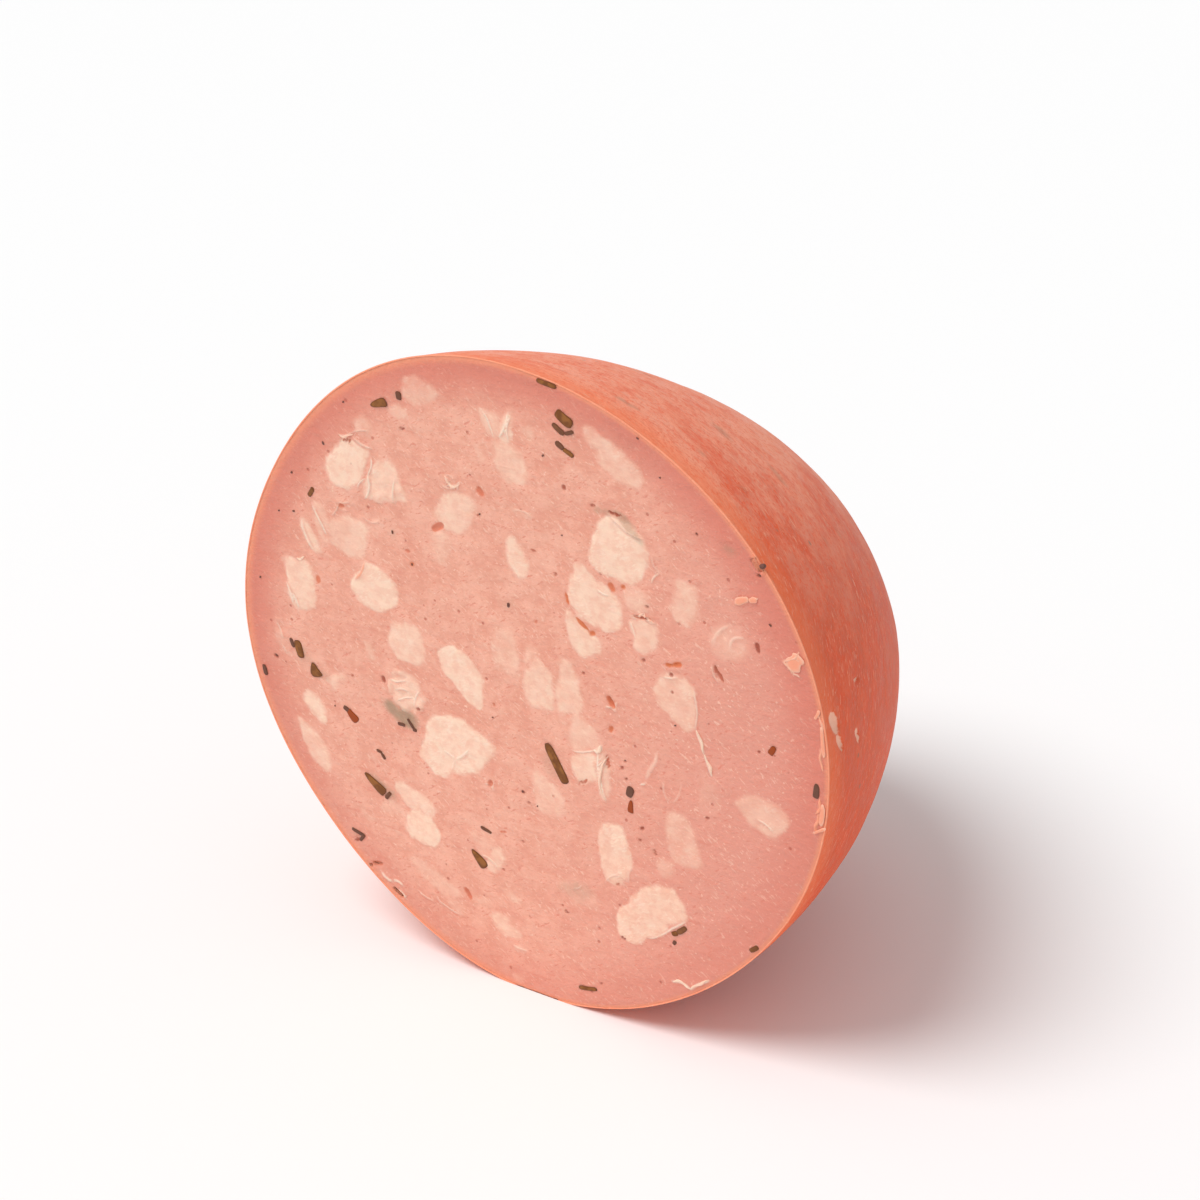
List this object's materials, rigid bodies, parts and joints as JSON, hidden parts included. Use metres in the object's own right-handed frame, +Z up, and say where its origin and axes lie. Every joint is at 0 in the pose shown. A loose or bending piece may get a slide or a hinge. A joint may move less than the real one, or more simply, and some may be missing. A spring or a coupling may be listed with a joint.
{
  "type": "mortadella",
  "caption": "Half of a large cooked pork sausage lying on its side, with a flat cut face of pink meat and white fat pieces, and a smooth rounded casing behind it.",
  "frame": {"origin": "on the surface that the sausage rests on, under the middle of its bounding box", "axes": "+Z up, the cut face looks along -Y, +X to the right of someone who looks at the cut face"},
  "size_m": [0.1742, 0.1464, 0.1813],
  "materials": {
    "meat": "moist satin, finely ground pink meat with cream-white fat, olive slivers and pepper"
  },
  "bodies": {
    "root": {"mortadella": "meat"}
  },
  "joints": []
}
